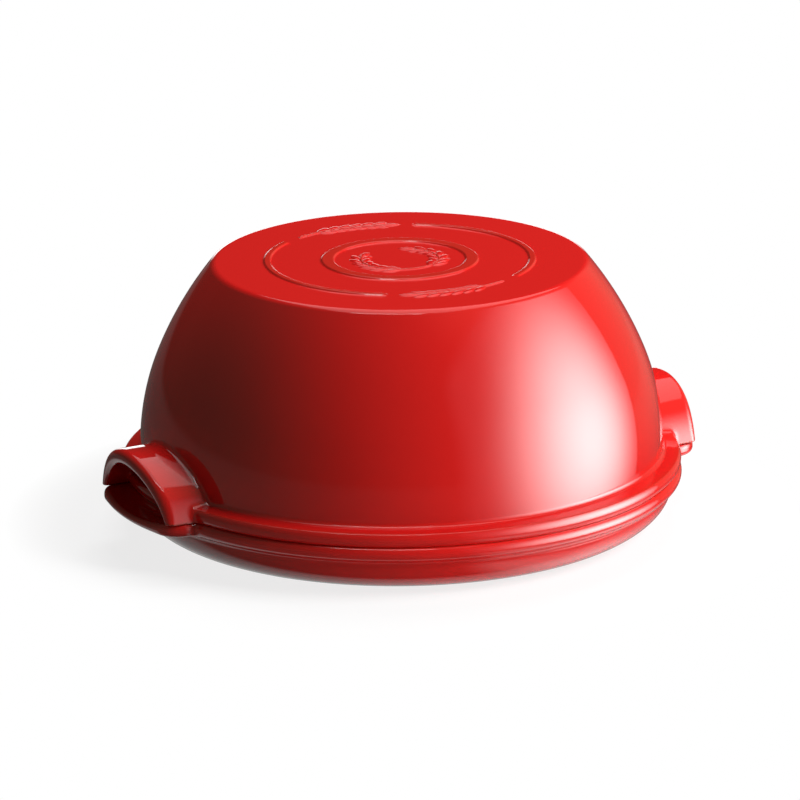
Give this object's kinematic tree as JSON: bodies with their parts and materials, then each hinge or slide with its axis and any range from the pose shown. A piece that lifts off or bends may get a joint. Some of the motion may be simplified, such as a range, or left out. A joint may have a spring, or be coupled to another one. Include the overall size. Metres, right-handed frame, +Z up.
{
  "type": "bread cloche",
  "caption": "Round glazed stoneware bread cloche: a deep flat-topped dome that lifts off a shallow dish, with arched lugs over shelf lugs at two sides.",
  "frame": {"origin": "on the table, under the middle of the dish", "axes": "+Z up along the axis of the dome, lugs on +X and -X"},
  "size_m": [0.321, 0.295, 0.1409],
  "materials": {
    "dish_glaze": "gloss",
    "lid_glaze": "gloss"
  },
  "bodies": {
    "dish": {"base_dish": "dish_glaze"},
    "lid": {"cloche_lid": "lid_glaze"}
  },
  "joints": [
    {"name": "lid_lift", "type": "slide", "parent": "dish", "child": "lid", "axis": [0, 0, 1], "range_m": [0, 0.2]}
  ]
}
